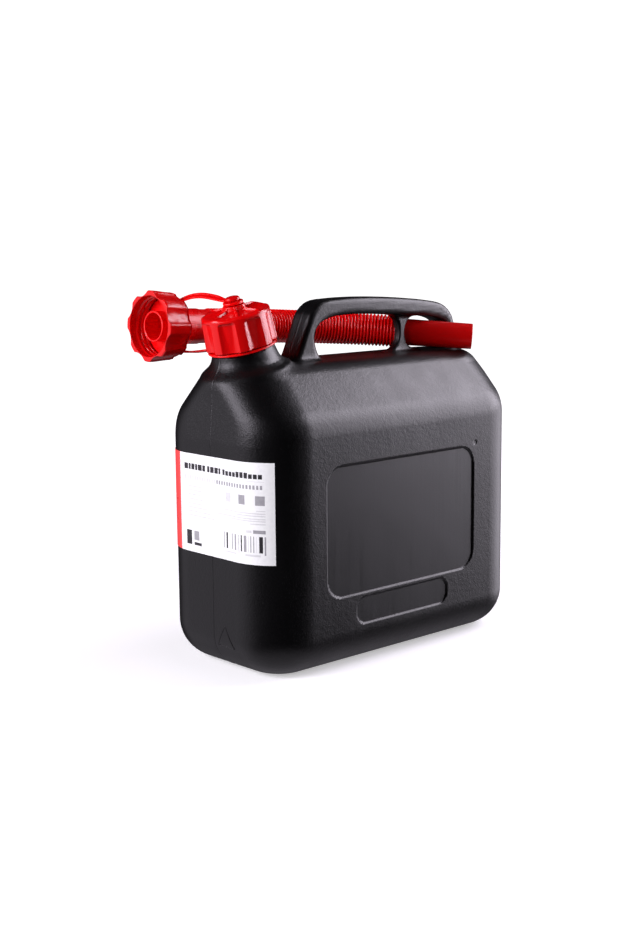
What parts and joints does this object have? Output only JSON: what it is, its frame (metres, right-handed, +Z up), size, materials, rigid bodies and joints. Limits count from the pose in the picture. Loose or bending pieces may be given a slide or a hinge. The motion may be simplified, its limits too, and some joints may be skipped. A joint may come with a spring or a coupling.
{
  "type": "fuel canister",
  "caption": "Hollow blow-moulded plastic fuel canister with a carrying handle, tilted neck, tethered screw cap, and a flexible pouring spout stored through the handle.",
  "frame": {"origin": "centre of the flat base, midway between the body's two ends and its two large sides, at ground level", "axes": "+Z up; +X along the body from the neck end to the rear end; +Y across the body, away from the side that the spout's tip points to"},
  "size_m": [0.2704, 0.147, 0.2695],
  "materials": {
    "canister_shell": "satin black polyethylene, fine moulded grain",
    "label": "printed self-adhesive film",
    "cap": "glossy moulded",
    "cap_seal": "soft foam liner",
    "cap_tether": "glossy moulded, flexible",
    "spout_hose": "glossy, slightly translucent",
    "spout_nut": "glossy moulded"
  },
  "bodies": {
    "canister": {"canister_shell": "canister_shell", "label": "label", "cap_tether": "cap_tether", "spout_hose": "spout_hose"},
    "cap_lift": {"cap_seal": "cap_seal"},
    "cap": {"cap": "cap"},
    "nut": {"spout_nut": "spout_nut"}
  },
  "joints": [
    {"name": "cap_rise", "type": "slide", "parent": "canister", "child": "cap_lift", "axis": [-0.2419, 0, 0.9703], "range_m": [0, 0.006], "deforming": ["cap_tether"]},
    {"name": "cap_turn", "type": "hinge", "parent": "cap_lift", "child": "cap", "pos_m": [-0.0995, 0, 0.2315], "axis": [-0.2419, 0, 0.9703], "range_deg": [0, 540]},
    {"name": "nut_spin", "type": "hinge", "parent": "canister", "child": "nut", "pos_m": [-0.139, 0.056, 0.244], "axis": [-0.9984, -0.0296, 0.048], "continuous": true}
  ],
  "couplings": [
    {"joint": "cap_rise", "follows": "cap_turn", "m_per_rad": 0.00063662}
  ]
}
